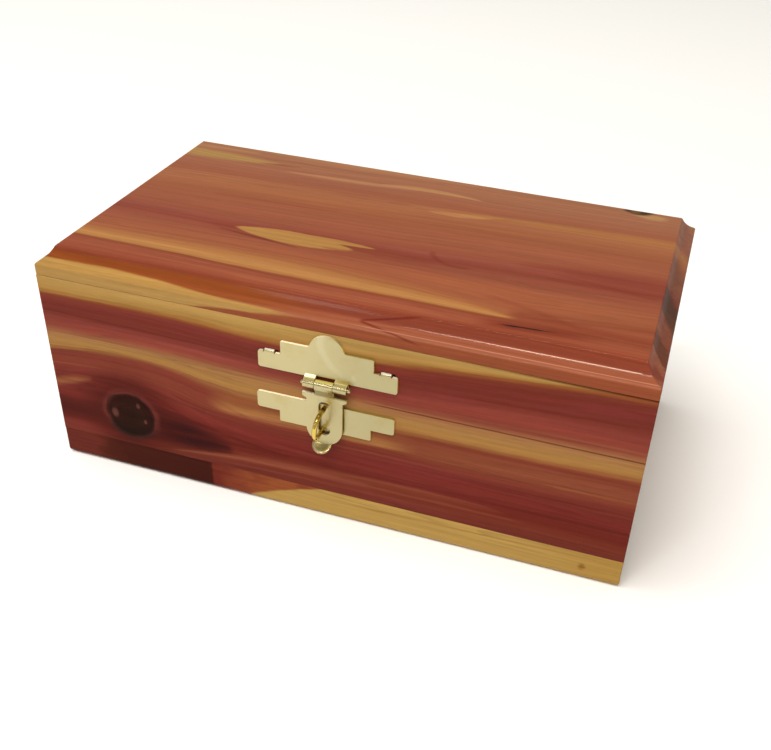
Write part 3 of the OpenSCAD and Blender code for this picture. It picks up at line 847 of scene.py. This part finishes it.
sheet_brass = brass("plated_sheet", "#c0b68b", 0.34, 0.12, "#d8b448")
wire_brass = brass("plated_wire", "#dcc060", 0.14, 0.06)
dress(["hasp_plate", "hasp_strap", "staple_plate"], sheet_brass, SHEET_EDGE)
dress(["hasp_pin"], sheet_brass, BRASS_EDGE)
dress(["staple"], wire_brass, BRASS_EDGE)
for side in ("left", "right"):
    dress([f"hinge_base_leaf_{side}", f"hinge_lid_leaf_{side}"], sheet_brass, BRASS_EDGE)
    dress([f"hinge_pin_{side}"], wire_brass, BRASS_EDGE)


# ---- studio ----

FLOOR_HALF = 3.0
LAMP_AIM = Vector((0, 0, 0.04))


def floor():
    """A plain pale floor."""
    corners = [(x * FLOOR_HALF, y * FLOOR_HALF, 0) for x, y in ((-1, -1), (1, -1), (1, 1), (-1, 1))]
    mesh = bpy.data.meshes.new("studio_floor")
    mesh.from_pydata(corners, [], [(0, 1, 2, 3)])
    thing = bpy.data.objects.new("studio_floor", mesh)
    bpy.context.scene.collection.objects.link(thing)
    g = Graph("studio_floor")
    mesh.materials.append(g.finish(base_color=[0.86, 0.86, 0.86], roughness=0.8, specular_ior_level=0.2))


def lamp(name, place, size, power, shows=False, colour=(1, 1, 1)):
    """A soft lamp aimed at the box. One that shows is also seen in the lacquer and the brass."""
    light = bpy.data.lights.new(name, "AREA")
    light.shape = "RECTANGLE"
    light.size, light.size_y = size
    light.energy = power
    light.color = colour
    thing = bpy.data.objects.new(name, light)
    thing.location = place
    thing.rotation_euler = (LAMP_AIM - Vector(place)).to_track_quat("-Z", "Y").to_euler()
    thing.visible_glossy = shows
    bpy.context.scene.collection.objects.link(thing)


def sky():
    """A plain sky, light at the horizon and darker overhead, which the brass and lacquer reflect."""
    world = bpy.data.worlds.new("studio")
    world.use_nodes = True
    tree = world.node_tree
    where = tree.nodes.new("ShaderNodeTexCoord")
    parts = tree.nodes.new("ShaderNodeSeparateXYZ")
    shade = tree.nodes.new("ShaderNodeValToRGB")
    tree.links.new(where.outputs["Generated"], parts.inputs[0])
    tree.links.new(parts.outputs["Z"], shade.inputs[0])
    tree.links.new(shade.outputs[0], tree.nodes["Background"].inputs["Color"])
    low, high = shade.color_ramp.elements
    low.color = (0.62, 0.60, 0.55, 1)
    high.color = (0.34, 0.32, 0.26, 1)
    low.position = 0.25
    high.position = 0.75
    bpy.context.scene.world = world


def studio():
    """The floor, the sky and four lamps: above, in front, and two that the lacquer and brass show."""
    floor()
    sky()
    lamp("key", (-0.70, -0.60, 2.60), (2.4, 2.4), 70)
    lamp("front_fill", (0.35, -1.60, 0.65), (1.4, 0.8), 3.6)
    lamp("strip", (0.10, -0.58, 1.13), (0.75, 0.05), 5.5, shows=True, colour=(1, 0.86, 0.72))
    lamp("painted_glint", (-0.42, -0.95, 0.80), (0.16, 0.22), 0.8, shows=True)
    bpy.context.scene.view_settings.view_transform = "Standard"


# where the camera stands, in millimetres, how it is turned, in degrees, and its lens
CAMERA_PLACE = (99.3, -300.0, 231.0)
CAMERA_HEADING = 16.523
CAMERA_TILT = 34.992
CAMERA_ROLL = 2.632
CAMERA_LENS = 46.58
CAMERA_SHIFT = (-0.0265, 0.0383)


def camera():
    """The camera stands to the right of the box's middle, turned left and tilted down towards it."""
    heading = Matrix.Rotation(math.radians(CAMERA_HEADING), 4, "Z")
    tilt = Matrix.Rotation(math.radians(90 - CAMERA_TILT), 4, "X")
    roll = Matrix.Rotation(math.radians(CAMERA_ROLL), 4, "Z")
    lens = bpy.data.cameras.new("camera")
    lens.sensor_width = 36
    lens.sensor_fit = "HORIZONTAL"
    lens.lens = CAMERA_LENS
    lens.shift_x, lens.shift_y = CAMERA_SHIFT
    lens.clip_start = 0.01
    thing = bpy.data.objects.new("camera", lens)
    thing.matrix_world = Matrix.Translation(Vector(CAMERA_PLACE) * MM) @ heading @ tilt @ roll
    bpy.context.scene.collection.objects.link(thing)
    bpy.context.scene.camera = thing


studio()
camera()
